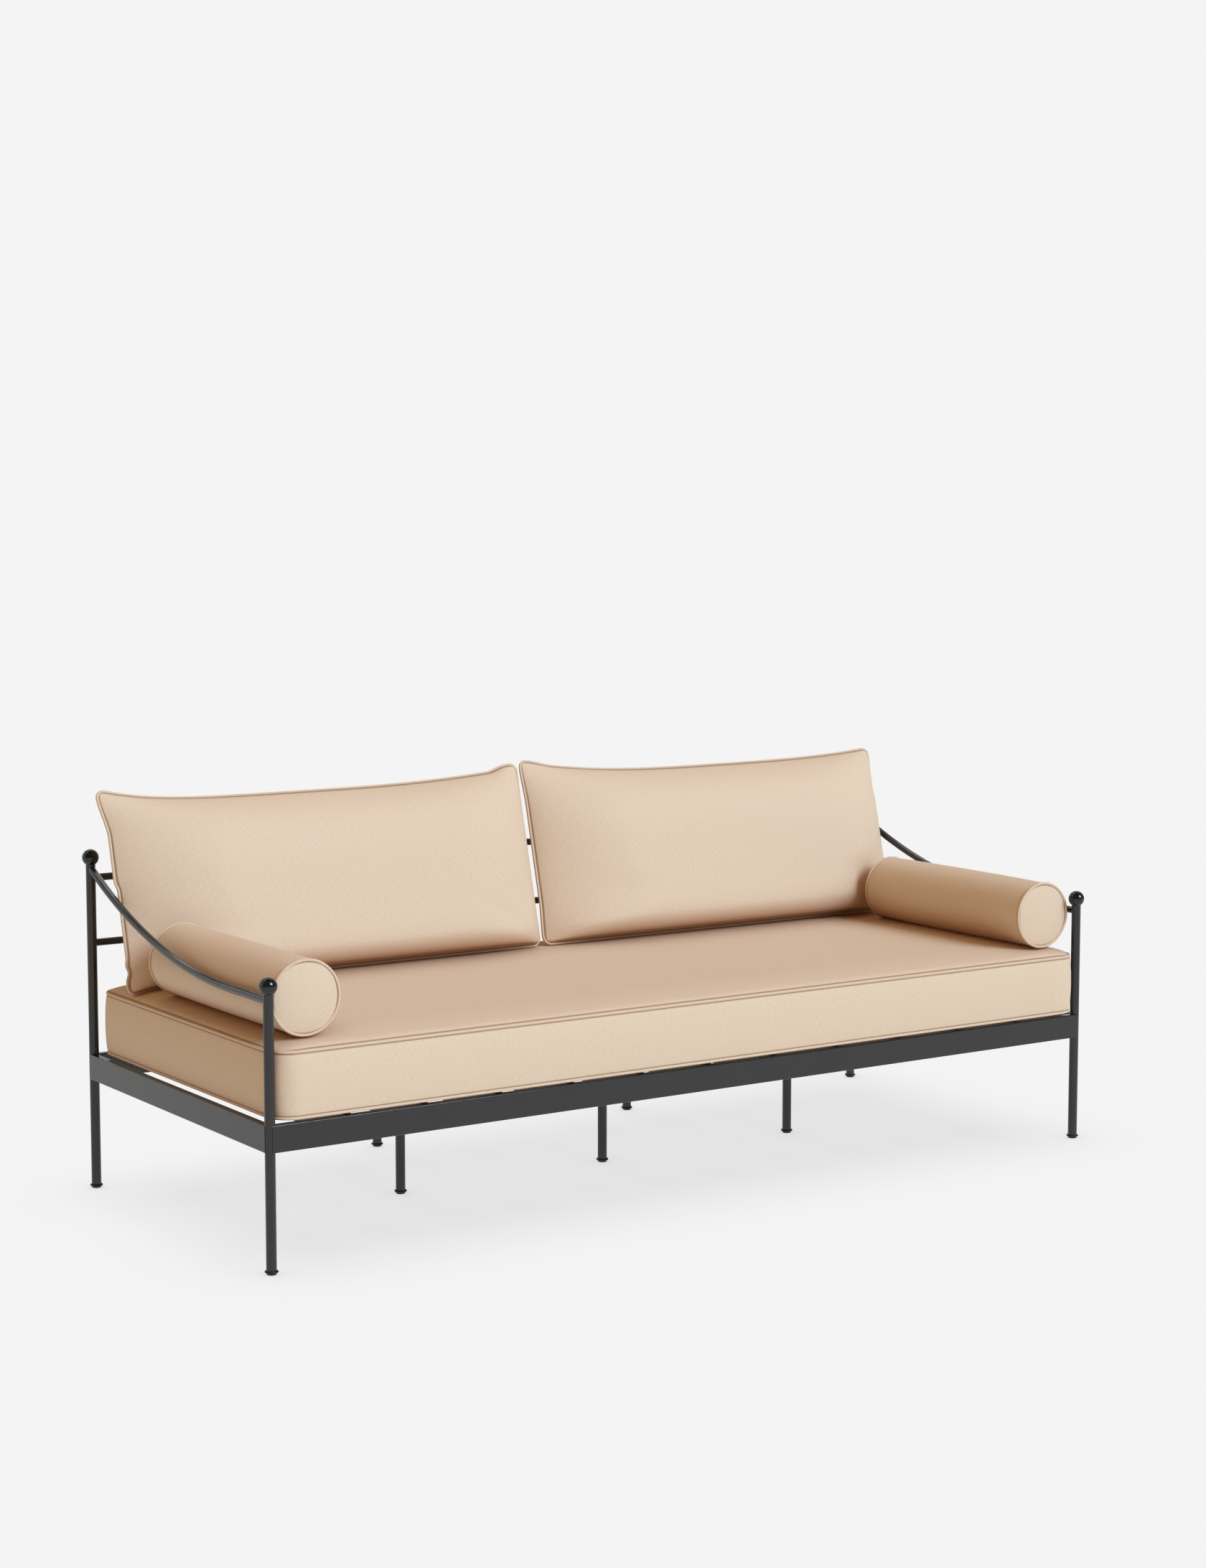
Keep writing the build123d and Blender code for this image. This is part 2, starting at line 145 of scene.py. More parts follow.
@dataclass(frozen=True)
class SmoothCoat:
    """Smooth opaque surface, cured from powder or moulded: one colour, a clear sheen and a fine orange peel.

    Attributes:
        name: What the material is.
        colour: Its colour.
        cloudy_colour: The colour that it drifts to in broad faint clouds.
        roughness: How far its sheen is spread.
        specular: Strength of that sheen; 0.5 for most resins.
        peel_mm: Width of one swell of the orange peel.
        peel_depth_mm: Depth of the peel.
        cloud_mm: Width of one cloud.
    """

    name: str
    colour: str
    cloudy_colour: str
    roughness: float
    specular: float
    peel_mm: float
    peel_depth_mm: float
    cloud_mm: float = 90.0

    def material(self) -> bpy.types.Material:
        """Make the coat: faint clouding in its colour, and the peel as bump."""
        material, tree = empty_material(self.name)
        place = add_node(tree, "ShaderNodeTexCoord").outputs["Object"]
        cloud = add_node(
            tree,
            "ShaderNodeTexNoise",
            inputs={"Vector": place, "Scale": 1 / (self.cloud_mm * MM), "Detail": 3.0},
        )
        colour = add_node(
            tree,
            "ShaderNodeMix",
            {"data_type": "RGBA"},
            {"Factor": cloud.outputs["Fac"], "A": linear(self.colour), "B": linear(self.cloudy_colour)},
        )
        peel = add_node(
            tree,
            "ShaderNodeTexNoise",
            inputs={"Vector": place, "Scale": 1 / (self.peel_mm * MM), "Detail": 2.0},
        )
        bump = add_node(
            tree,
            "ShaderNodeBump",
            inputs={"Height": peel.outputs["Fac"], "Distance": self.peel_depth_mm * MM, "Strength": 1.0},
        )
        shader = add_node(
            tree,
            "ShaderNodeBsdfPrincipled",
            inputs={
                "Base Color": colour.outputs["Result"],
                "Roughness": self.roughness,
                "Specular IOR Level": self.specular,
                "Normal": bump.outputs["Normal"],
            },
        )
        add_node(tree, "ShaderNodeOutputMaterial", inputs={"Surface": shader.outputs["BSDF"]})
        return material


@dataclass(frozen=True)
class OutdoorCanvas:
    """Acrylic canvas: a plain weave of matt spun yarn, a little fuzzy, uneven along the yarn.

    Attributes:
        name: What the material is.
        yarn: Colour on top of the yarn.
        shadow_yarn: Colour between the yarns.
        stitch_and_crease_shade: Colour of the line beside a seam: partly its stitches, partly painted shade
            of the crease there.
        fold: Colour of the painted shade deep in a fold.
        weave: How the cloth lies.
        thread_mm: Distance between threads.
        slub_mm: Length of a thick place in the yarn.
        grain_mm: Width of the spun yarn's grain.
        relief_mm: Height of the weave.
        relief_share: Share of that height that the bump shows.
        thread_share: Share of the threads in the yarn's shade, beside slub and grain.
        shade_range: Lowest and highest value of that shade.
        seam_start_mm: Distance from a seam's middle at which its line starts to fade.
        seam_width_mm: Distance over which it fades.
        seam_depth: How much of the stitch colour it shows.
        fold_reach_mm: How far off other surfaces still close a fold.
        fold_samples: Rays that look for them.
        fold_range: Openness of a deep fold and of open cloth, from 0 to 1.
        fold_depth: How much of that painted shade a deep fold shows.
        roughness: How far its sheen is spread.
        specular: Strength of that sheen.
        fuzz: Strength of the light that loose fibres catch.
        fuzz_spread: How far that light is spread.
        fuzz_tint: Colour of that light.
    """

    name: str
    yarn: str
    shadow_yarn: str
    stitch_and_crease_shade: str
    fold: str
    weave: Weave
    # The real yarn is about 0.6 mm apart; it is drawn coarser so that it shows in the render.
    thread_mm: float = 1.6
    slub_mm: float = 9.0
    grain_mm: float = 3.2
    relief_mm: float = 0.26
    relief_share: float = 0.6
    thread_share: float = 0.35
    shade_range: Span = (0.7, 1.65)
    seam_start_mm: float = 3.9
    seam_width_mm: float = 2.4
    seam_depth: float = 0.7
    fold_reach_mm: float = 150.0
    fold_samples: int = 12
    fold_range: Span = (0.1, 0.85)
    fold_depth: float = 0.62
    roughness: float = 0.70
    specular: float = 0.45
    fuzz: float = 0.18
    fuzz_spread: float = 0.45
    fuzz_tint: str = "#FFF6EA"

    def yarn_height(self, tree: Tree) -> Socket:
        """Work out the yarn's height: threads crossing over and under, slubs along them, and a fine grain.

        Args:
            tree: Node tree of the material.

        Returns:
            The height, from 0 to about 2.
        """
        flat = add_node(tree, "ShaderNodeUVMap", {"uv_map": CLOTH_UV}).outputs["UV"]
        thread = self.thread_mm * MM
        turned = add_node(
            tree,
            "ShaderNodeMapping",
            inputs={
                "Vector": flat,
                "Rotation": (0.0, 0.0, math.radians(self.weave.value)),
                "Scale": (1 / thread,) * 3,
            },
        ).outputs["Vector"]
        # Blender's waves are 20 / (2 pi) to a unit, so this scale gives one wave to a thread.
        wave = {"Vector": turned, "Scale": 2 * math.pi / 20}
        warp, weft = (
            add_node(tree, "ShaderNodeTexWave", {"bands_direction": way}, wave).outputs["Fac"] for way in "XY"
        )
        over = add_node(tree, "ShaderNodeTexChecker", inputs={"Vector": turned, "Scale": 1.0}).outputs["Fac"]
        threads = add_node(
            tree, "ShaderNodeMix", {"data_type": "FLOAT"}, {"Factor": over, "A": warp, "B": weft}
        ).outputs["Result"]
        stretched = add_node(
            tree,
            "ShaderNodeMapping",
            inputs={"Vector": flat, "Scale": (1 / (self.slub_mm * MM), 1 / thread, 1.0)},
        ).outputs["Vector"]
        slub = add_node(
            tree, "ShaderNodeTexNoise", inputs={"Vector": stretched, "Scale": 1.0, "Detail": 2.0}
        ).outputs["Fac"]
        grain = add_node(
            tree,
            "ShaderNodeTexNoise",
            inputs={"Vector": flat, "Scale": 1 / (self.grain_mm * MM), "Detail": 4.0},
        ).outputs["Fac"]
        uneven = add_node(tree, "ShaderNodeMath", {"operation": "ADD"}, {0: slub, 1: grain}).outputs["Value"]
        return add_node(
            tree,
            "ShaderNodeMath",
            {"operation": "MULTIPLY_ADD"},
            {0: threads, 1: self.thread_share, 2: uneven},
        ).outputs["Value"]

    def dye_and_painted_shade(self, tree: Tree, height: Socket) -> Socket:
        """Work out the colour: darker between yarns, with painted shade in folds and a line beside each seam
        for its stitches and painted shade of its crease.

        Args:
            tree: Node tree of the material.
            height: The yarn's height.

        Returns:
            The colour.
        """
        top = add_node(
            tree,
            "ShaderNodeMapRange",
            inputs={"Value": height, "From Min": self.shade_range[0], "From Max": self.shade_range[1]},
        ).outputs["Result"]
        cloth = add_node(
            tree,
            "ShaderNodeMix",
            {"data_type": "RGBA"},
            {"Factor": top, "A": linear(self.shadow_yarn), "B": linear(self.yarn)},
        ).outputs["Result"]
        # Painted shade: where other surfaces lie near, as in folds, creases and under the bolsters, the
        # colour is darkened towards a deep orange, in place of the shade and cloth-coloured bounce light
        # there.
        openness = add_node(
            tree,
            "ShaderNodeAmbientOcclusion",
            {"samples": self.fold_samples},
            {"Distance": self.fold_reach_mm * MM},
        ).outputs["AO"]
        painted_fold_shade = add_node(
            tree,
            "ShaderNodeMapRange",
            inputs={
                "Value": openness,
                "From Min": self.fold_range[0],
                "From Max": self.fold_range[1],
                "To Min": self.fold_depth,
                "To Max": 0.0,
            },
        ).outputs["Result"]
        cloth = add_node(
            tree,
            "ShaderNodeMix",
            {"data_type": "RGBA"},
            {"Factor": painted_fold_shade, "A": cloth, "B": linear(self.fold)},
        ).outputs["Result"]
        # Line beside each seam: partly its stitches, partly painted shade of the crease where the panel meets
        # the cord.
        distance = add_node(tree, "ShaderNodeAttribute", {"attribute_name": SEAM_DISTANCE}).outputs["Fac"]
        start = self.seam_start_mm * MM
        line = add_node(
            tree,
            "ShaderNodeMapRange",
            {"interpolation_type": "SMOOTHSTEP"},
            {
                "Value": distance,
                "From Min": start,
                "From Max": start + self.seam_width_mm * MM,
                "To Min": self.seam_depth,
                "To Max": 0.0,
            },
        ).outputs["Result"]
        return add_node(
            tree,
            "ShaderNodeMix",
            {"data_type": "RGBA"},
            {"Factor": line, "A": cloth, "B": linear(self.stitch_and_crease_shade)},
        ).outputs["Result"]

    def material(self) -> bpy.types.Material:
        """Make the cloth from its yarn's height and its colour, which carries painted shade."""
        material, tree = empty_material(self.name)
        height = self.yarn_height(tree)
        bump = add_node(
            tree,
            "ShaderNodeBump",
            inputs={"Height": height, "Distance": self.relief_mm * MM, "Strength": self.relief_share},
        )
        shader = add_node(
            tree,
            "ShaderNodeBsdfPrincipled",
            inputs={
                "Base Color": self.dye_and_painted_shade(tree, height),
                "Roughness": self.roughness,
                "Specular IOR Level": self.specular,
                "Sheen Weight": self.fuzz,
                "Sheen Roughness": self.fuzz_spread,
                "Sheen Tint": linear(self.fuzz_tint),
                "Normal": bump.outputs["Normal"],
            },
        )
        add_node(tree, "ShaderNodeOutputMaterial", inputs={"Surface": shader.outputs["BSDF"]})
        return material


@dataclass
class Cover:
    """A closed sewn surface as arrays.

    Attributes:
        points: Corner places, one row each.
        faces: Four point numbers a face, counter-clockwise seen from outside.
        flat: Place of each face corner on the flat cloth.
        seam: Distance of each point from its nearest seam, along the cloth.
    """

    points: np.ndarray
    faces: np.ndarray
    flat: np.ndarray
    seam: np.ndarray


def spread(count: int, crowding: float = 0.5) -> np.ndarray:
    """Steps from -1 to 1 that crowd towards both ends.

    Args:
        count: Number of steps.
        crowding: Share of a sine in the spacing; 0 gives even steps.

    Returns:
        One more place than there are steps.
    """
    even = np.linspace(-1.0, 1.0, count + 1)
    return (1 - crowding) * even + crowding * np.sin(even * math.pi / 2)


def rise(distance: np.ndarray, run: float, power: float) -> np.ndarray:
    """Swell of a stuffed panel: a parabola over the run from a seam, raised to a power, then level."""
    return (1 - (1 - np.clip(distance / run, 0, 1)) ** 2) ** power


def ease(value: np.ndarray) -> np.ndarray:
    """Smooth step from 0 to 1."""
    share = np.clip(value, 0, 1)
    return share**2 * (3 - 2 * share)


def round_corners(
    x: np.ndarray, y: np.ndarray, half_x: float, half_y: float, corner: float
) -> tuple[np.ndarray, np.ndarray]:
    """Carry a rectangle's points into the same rectangle with round corners.

    Inside each corner square, the square is carried to a quarter disc by the elliptical map
    a' = a sqrt(1 - b^2 / 2), b' = b sqrt(1 - a^2 / 2). Elsewhere points stay.

    Args:
        x: First coordinates.
        y: Second coordinates.
        half_x: Half the rectangle's first side.
        half_y: Half its second side.
        corner: Corner radius.

    Returns:
        The moved coordinates.
    """
    a = np.clip((np.abs(x) - half_x + corner) / corner, 0, 1)
    b = np.clip((np.abs(y) - half_y + corner) / corner, 0, 1)
    new_x = np.minimum(np.abs(x), half_x - corner) + corner * a * np.sqrt(1 - b**2 / 2)
    new_y = np.minimum(np.abs(y), half_y - corner) + corner * b * np.sqrt(1 - a**2 / 2)
    return np.sign(x) * new_x, np.sign(y) * new_y


def rectangle_loop(
    half_x: float, half_y: float, corner: float, count: int
) -> tuple[np.ndarray, np.ndarray]:
    """Evenly spaced points round a rectangle with round corners, counter-clockwise.

    Args:
        half_x: Half the first side.
        half_y: Half the second side.
        corner: Corner radius.
        count: Number of points.

    Returns:
        First and second coordinates.
    """
    straight = np.array([half_x, half_y, half_x, half_y]) - corner
    lengths = np.column_stack([2 * straight, np.full(4, corner * math.pi / 2)]).ravel()
    starts = np.concatenate([[0], np.cumsum(lengths)])
    along = np.arange(count) / count * starts[-1]
    part = np.searchsorted(starts, along, side="right") - 1
    local = along - starts[part]
    quarter = part // 2
    on_corner = part % 2 == 1
    angle = np.where(on_corner, local / corner, 0.0) - math.pi / 2
    run = np.where(on_corner, straight[quarter], local - straight[quarter])
    u = run + corner * np.cos(angle)
    v = corner * np.sin(angle) - straight[(quarter + 1) % 4]
    turn = quarter * math.pi / 2
    return u * np.cos(turn) - v * np.sin(turn), u * np.sin(turn) + v * np.cos(turn)


def grid_faces(rows: int, columns: int) -> np.ndarray:
    """Faces of a grid of points numbered row by row, counter-clockwise."""
    corner = (np.arange(rows - 1)[:, None] * columns + np.arange(columns - 1)).ravel()
    return np.column_stack([corner, corner + 1, corner + columns + 1, corner + columns])


def rim(rows: int, columns: int) -> np.ndarray:
    """Numbers of a grid's rim points in order, counter-clockwise from the first."""
    number = np.arange(rows * columns).reshape(rows, columns)
    return np.concatenate([number[0, :-1], number[:-1, -1], number[-1, :0:-1], number[:0:-1, 0]])


def band_cloth(along: np.ndarray, across: np.ndarray) -> np.ndarray:
    """Flat cloth of a closed band, for faces that go across, along and back."""
    u0, v0 = np.meshgrid(along[:-1], across[:-1])
    u1, v1 = np.meshgrid(along[1:], across[1:])
    corners = [np.stack(pair, axis=-1) for pair in ((u0, v0), (u0, v1), (u1, v1), (u1, v0))]
    return np.stack(corners, axis=-2).reshape(-1, 4, 2)


def lengths_along(loop: np.ndarray) -> np.ndarray:
    """Running length round a closed loop, from 0 to its whole length."""
    return np.concatenate([[0], np.cumsum(np.linalg.norm(np.roll(loop, -1, axis=0) - loop, axis=1))])


def outward_of(loop: np.ndarray, across: np.ndarray) -> np.ndarray:
    """Unit vectors out of a closed counter-clockwise loop, in its plane."""
    tangent = np.roll(loop, -1, axis=0) - np.roll(loop, 1, axis=0)
    return np.cross(tangent / np.linalg.norm(tangent, axis=1, keepdims=True), across)


def cord_round(path: np.ndarray, across: np.ndarray, radius: float, sides: int = 14) -> Cover:
    """Carry a circle along a closed flat path.

    Each ring is path + radius (cos t * outward + sin t * across).

    Args:
        path: Points of the closed path, counter-clockwise.
        across: Unit vector square to the path's plane.
        radius: Radius of the cord.
        sides: Points round the cord.

    Returns:
        The cord's surface.
    """
    turn = np.arange(sides) / sides * 2 * math.pi
    ring = np.cos(turn)[:, None, None] * outward_of(path, across) + np.sin(turn)[:, None, None] * across
    points = (path + radius * ring).reshape(-1, 3)
    number = np.arange(len(points)).reshape(sides, len(path))
    up, ahead = np.roll(number, -1, axis=0), np.roll(number, -1, axis=1)
    faces = np.stack([number, ahead, np.roll(up, -1, axis=1), up], axis=-1)
    girth = np.arange(sides + 1) / sides * 2 * math.pi * radius
    flat = band_cloth(lengths_along(path), girth)[:, [0, 3, 2, 1]]
    return Cover(points, faces.reshape(-1, 4), flat, np.ones(len(points)))


@dataclass(frozen=True)
class BoxedForm:
    """Two crowned panels of one outline with boxing between them, in axes of its own.

    Attributes:
        half_x: Half the outline's first side, at the seams.
        half_y: Half its second side.
        corner: Its corner radius.
        half_z: Half the distance between the seams.
        top_crown: Height of the top panel over its seam.
        bottom_crown: Depth of the bottom panel under its seam.
        top_run: Distance over which the top panel rises.
        bottom_run: Distance over which the bottom panel falls.
        crown_power: Roundness of the panels' edges: 0.5 for an ellipse, 1 for a parabola.
        bulge: How far the boxing stands out at mid-height.
        columns: Grid steps along the first side.
        rows: Grid steps along the second side.
        strips: Grid steps across the boxing.
    """

    half_x: float
    half_y: float
    corner: float
    half_z: float
    top_crown: float
    bottom_crown: float
    top_run: float
    bottom_run: float
    crown_power: float
    bulge: float
    columns: int
    rows: int
    strips: int

    def panel(self, seam_z: float, crown: float, run: float) -> tuple[np.ndarray, np.ndarray]:
        """Work out one panel: z = seam + crown * c(x) c(y), c being the rise from each pair of edges.

        Args:
            seam_z: Height of its seam.
            crown: Height over the seam, below zero for the bottom.
            run: Distance over which it rises.

        Returns:
            Its points, and the distance of each from the seam.
        """
        p, q = np.meshgrid(spread(self.columns), spread(self.rows))
        from_x, from_y = self.half_x * (1 - np.abs(p)), self.half_y * (1 - np.abs(q))
        x, y = round_corners(p * self.half_x, q * self.half_y, self.half_x, self.half_y, self.corner)
        z = seam_z + crown * rise(from_x, run, self.crown_power) * rise(from_y, run, self.crown_power)
        return np.stack([x, y, z], axis=-1).reshape(-1, 3), np.minimum(from_x, from_y).ravel()

    def cover(self) -> tuple[Cover, np.ndarray]:
        """Join the panels and the boxing.

        The boxing carries the rim down in rows, pushed out by bulge * sqrt(1 - t^2), t from -1 to 1.

        Returns:
            The closed cover, and the numbers of its seams' points.
        """
        top, top_seam = self.panel(self.half_z, self.top_crown, self.top_run)
        bottom, bottom_seam = self.panel(-self.half_z, -self.bottom_crown, self.bottom_run)
        edge = rim(self.rows + 1, self.columns + 1)
        level = -spread(self.strips)
        inner = level[1:-1]
        push = self.bulge * np.sqrt(1 - inner**2)
        boxing = top[edge] + push[:, None, None] * outward_of(top[edge], UP)
        boxing[:, :, 2] = self.half_z * inner[:, None]
        boxing_seam = np.repeat(self.half_z * (1 - np.abs(inner)), len(edge))
        number = np.arange(len(inner) * len(edge)).reshape(len(inner), -1) + 2 * len(top)
        ring = np.vstack([edge, number, edge + len(top)])
        above, below = ring[:-1], ring[1:]
        bands = np.stack([above, below, np.roll(below, -1, axis=1), np.roll(above, -1, axis=1)], axis=-1)
        panel = grid_faces(self.rows + 1, self.columns + 1)
        strip = band_cloth(lengths_along(top[edge]), self.half_z * (1 - level))
        cover = Cover(
            np.concatenate([top, bottom, boxing.reshape(-1, 3)]),
            np.concatenate([panel, panel[:, ::-1] + len(top), bands.reshape(-1, 4)]),
            np.concatenate([top[panel][:, :, :2], bottom[panel[:, ::-1]][:, :, :2], strip]),
            np.concatenate([top_seam, bottom_seam, boxing_seam]),
        )
        return cover, np.concatenate([edge, edge + len(top)])


def box_corners(node: str) -> tuple[np.ndarray, np.ndarray]:
    """Lowest and highest corner of a node's box."""
    low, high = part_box(node)
    return np.array(low), np.array(high)


def make_piece(name: str, cover: Cover, material: bpy.types.Material) -> bpy.types.Object:
    """Put a cover into a mesh object at the origin, with its cloth map and seam distances.

    Args:
        name: Name of the piece.
        cover: The surface.
        material: Its finish.

    Returns:
        The new object.
    """
    mesh = bpy.data.meshes.new(name)
    mesh.from_pydata(cover.points.tolist(), [], cover.faces.tolist())
    mesh.uv_layers.new(name=CLOTH_UV).data.foreach_set("uv", cover.flat.astype(np.float32).ravel())
    seam = mesh.attributes.new(SEAM_DISTANCE, "FLOAT", "POINT")
    seam.data.foreach_set("value", cover.seam.astype(np.float32))
    mesh.materials.append(material)
    mesh.shade_smooth()
    piece = bpy.data.objects.new(name, mesh)
    bpy.context.scene.collection.objects.link(piece)
    return piece


def read_points(mesh: bpy.types.Mesh) -> np.ndarray:
    """Places of a mesh's points, one row each."""
    flat = np.empty(len(mesh.vertices) * 3, np.float32)
    mesh.vertices.foreach_get("co", flat)
    return flat.reshape(-1, 3).astype(float)


@dataclass(frozen=True)
class Filling:
    """How a cover is swollen by its filling.

    Attributes:
        pressure: Push of the filling on the cloth.
        most: Furthest that a point may move, as the foam's core holds the cushion's size.
        stiffness: How hard the cloth is to bend.
        frames: Steps of the simulation.
        smoothing: Rounds in which each point's move is averaged with its neighbours' moves.
    """

    pressure: float
    most: float
    stiffness: float = 2.0
    frames: int = 20
    smoothing: int = 12

    def even_out(self, mesh: bpy.types.Mesh, moved: np.ndarray, held: np.ndarray) -> np.ndarray:
        """Smooth the cloth's moves: half of each stays, half is the mean of its neighbours'.

        Args:
            mesh: Mesh of the cover.
            moved: Move of each of its points.
            held: Numbers of the points that stay.

        Returns:
            The smoothed moves.
        """
        ends = np.empty(len(mesh.edges) * 2, np.int32)
        mesh.edges.foreach_get("vertices", ends)
        first, second = ends.reshape(-1, 2).T
        neighbours = np.bincount(ends, minlength=len(moved))[:, None]
        for _ in range(self.smoothing):
            total = np.zeros_like(moved)
            np.add.at(total, first, moved[second])
            np.add.at(total, second, moved[first])
            moved = (moved + total / neighbours) / 2
            moved[held] = 0.0
        return moved

    def swell(self, piece: bpy.types.Object, held: np.ndarray) -> None:
        """Run the cloth simulation and keep its result in the mesh.

        Args:
            piece: The cover.
            held: Numbers of the points that the seams hold in place.
        """
        scene = bpy.context.scene
        start = read_points(piece.data)
        seams = piece.vertex_groups.new(name="seams")
        seams.add(held.tolist(), 1.0, "REPLACE")
        cloth = piece.modifiers.new("filling", "CLOTH")
        settings = cloth.settings
        settings.vertex_group_mass = seams.name
        settings.use_pressure = True
        settings.uniform_pressure_force = self.pressure
        settings.effector_weights.gravity = 0.0
        settings.bending_stiffness = self.stiffness
        cloth.point_cache.frame_start = 1
        cloth.point_cache.frame_end = self.frames
        for step in range(1, self.frames + 1):
            scene.frame_set(step)
        swollen = piece.evaluated_get(bpy.context.evaluated_depsgraph_get())
        moved = read_points(swollen.data) - start
        piece.modifiers.remove(cloth)
        piece.vertex_groups.remove(seams)
        scene.frame_set(1)
        length = np.linalg.norm(moved, axis=1, keepdims=True)
        free = length.max()
        moved *= np.minimum(1, self.most / np.maximum(length, 1e-9))
        moved = self.even_out(piece.data, moved, held)
        kept = np.linalg.norm(moved, axis=1).max()
        piece.data.vertices.foreach_set("co", (start + moved).astype(np.float32).ravel())
        piece.data.update()
        log.info("%s: the filling moved it %.1f mm, kept to %.1f mm", piece.name, free / MM, kept / MM)


@dataclass
class Upholstery:
    """The two cloths of the covers, and what all the cushions share.

    Attributes:
        panel: Material of the panels and boxing.
        piping: Material of the piping.
        cord_radius: Radius of the piping as it is drawn.
    """

    panel: bpy.types.Material
    piping: bpy.types.Material
    cord_radius: float = 3.2 * MM

    def add_cover(self, name: str, cover: Cover, held: np.ndarray, filling: Filling, fill: float) -> None:
        """Make a cushion that stands for its solid.

        Args:
            name: Name of the solid's node, which is also the name of its body.
            cover: The starting surface.
            held: Numbers of the points on its seams.
            filling: How the cover is swollen.
            fill: How full the cushion is, from 0 to 1; not used.
        """
        piece = make_piece(f"{name}_cover", cover, self.panel)
        filling.swell(piece, held)
        surface = piece.modifiers.new("smooth", "SUBSURF")
        surface.levels = 1
        surface.render_levels = 1
        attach(piece, name)
        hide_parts(name)
        log.info("%s: %d faces", piece.name, len(piece.data.polygons))

    def add_piping(self, node: str, body: str, loops: list[np.ndarray], across: np.ndarray) -> None:
        """Make the piping that stands for a node.

        Args:
            node: Name of the node.
            body: Body that it moves with.
            loops: Closed paths of its cords, counter-clockwise.
            across: Unit vector square to the loops' planes.
        """
        cords = [cord_round(loop, across, self.cord_radius) for loop in loops]
        firsts = np.cumsum([0] + [len(cord.points) for cord in cords[:-1]])
        cover = Cover(
            np.concatenate([cord.points for cord in cords]),
            np.concatenate([cord.faces + first for cord, first in zip(cords, firsts)]),
            np.concatenate([cord.flat for cord in cords]),
            np.concatenate([cord.seam for cord in cords]),
        )
        piece = make_piece(f"{node}_cord", cover, self.piping)
        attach(piece, body)
        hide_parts(node)
        log.info("%s: %d faces", piece.name, len(piece.data.polygons))


@dataclass
class SeatCushion:
    """Bench seat: a box cushion with a crowned top, bulged boxing and a bottom that lies on the slats.

    Attributes:
        upholstery: The cloths.
        corner: Radius of the outline's corners, at the seams.
        crown: Height of the top over its seam.
        piping_points: Points along each loop of piping.
        filling: How the cover is swollen.
    """

    upholstery: Upholstery
    corner: float = 49.5 * MM
    crown: float = 21.0 * MM
    piping_points: int = 900
    filling: Filling = Filling(pressure=3.0, most=1.5 * MM)

    def build(self) -> None:
        """Make the cushion between the seams that the piping's nodes mark, and its two loops of piping."""
        low, high = box_corners("seat_upper_piping")
        cord = (high[2] - low[2]) / 2
        upper_z = (low[2] + high[2]) / 2
        lower_z = box_corners("seat_lower_piping")[0][2] + cord
        centre = np.array([*((low + high) / 2)[:2], (upper_z + lower_z) / 2])
        form = BoxedForm(
            half_x=(high[0] - low[0]) / 2 - cord,
            half_y=(high[1] - low[1]) / 2 - cord,
            corner=self.corner,
            half_z=(upper_z - lower_z) / 2,
            top_crown=self.crown,
            bottom_crown=lower_z - box_corners("seat_cushion")[0][2],
            top_run=106.0 * MM,
            bottom_run=70.0 * MM,
            crown_power=0.45,
            bulge=6.0 * MM,
            columns=144,
            rows=58,
            strips=12,
        )
        cover, held = form.cover()
        cover.points = cover.points + centre
        self.upholstery.add_cover("seat_cushion", cover, held, self.filling, fill=0.9)
        x, y = rectangle_loop(form.half_x, form.half_y, form.corner, self.piping_points)
        for node, height in (("seat_upper_piping", form.half_z), ("seat_lower_piping", -form.half_z)):
            loop = centre + np.column_stack([x, y, np.full(len(x), height)])
            self.upholstery.add_piping(node, "seat_cushion", [loop], UP)


@dataclass
class Bolster:
    """Round bolster: a crowned tube of cloth with a gently domed disc at each end.

    Attributes:
        upholstery: The cloths.
        side: Which of the two it is.
        dome: Height of an end's disc over its seam.
        piping_points: Points along each ring of piping.
        filling: How the cover is swollen.
    """

    upholstery: Upholstery
    side: Side
    dome: float = 6.0 * MM
    piping_points: int = 220
    filling: Filling = Filling(pressure=3.0, most=1.0 * MM)

    def build(self) -> None:
        """Make the bolster between the rings that the piping's node marks, and its two rings of piping."""
        name = f"{self.side.label}_bolster"
        low, high = box_corners(f"{name}_piping")
        cord = CORD / 2
        radius = (high[2] - low[2]) / 2 - cord
        form = BoxedForm(
            half_x=radius,
            half_y=radius,
            corner=radius,
            half_z=(high[1] - low[1]) / 2 - cord,
            top_crown=self.dome,
            bottom_crown=self.dome,
            top_run=radius,
            bottom_run=radius,
            crown_power=1.0,
            bulge=2.8 * MM,
            columns=24,
            rows=24,
            strips=64,
        )
        cover, held = form.cover()
        centre = (low + high) / 2
        # The form's own height lies towards the front, and its second side stands up.
        to_front = np.array([[1.0, 0.0, 0.0], [0.0, 0.0, 1.0], [0.0, -1.0, 0.0]])
        cover.points = cover.points @ to_front + centre
        self.upholstery.add_cover(name, cover, held, self.filling, fill=0.9)
        turn = np.linspace(0, 2 * math.pi, self.piping_points, endpoint=False)
        ring = radius * np.column_stack([np.cos(turn), np.zeros_like(turn), np.sin(turn)])
        loops = [centre + ring + np.array([0.0, end * form.half_z, 0.0]) for end in (-1, 1)]
        self.upholstery.add_piping(f"{name}_piping", name, loops, to_front[2])


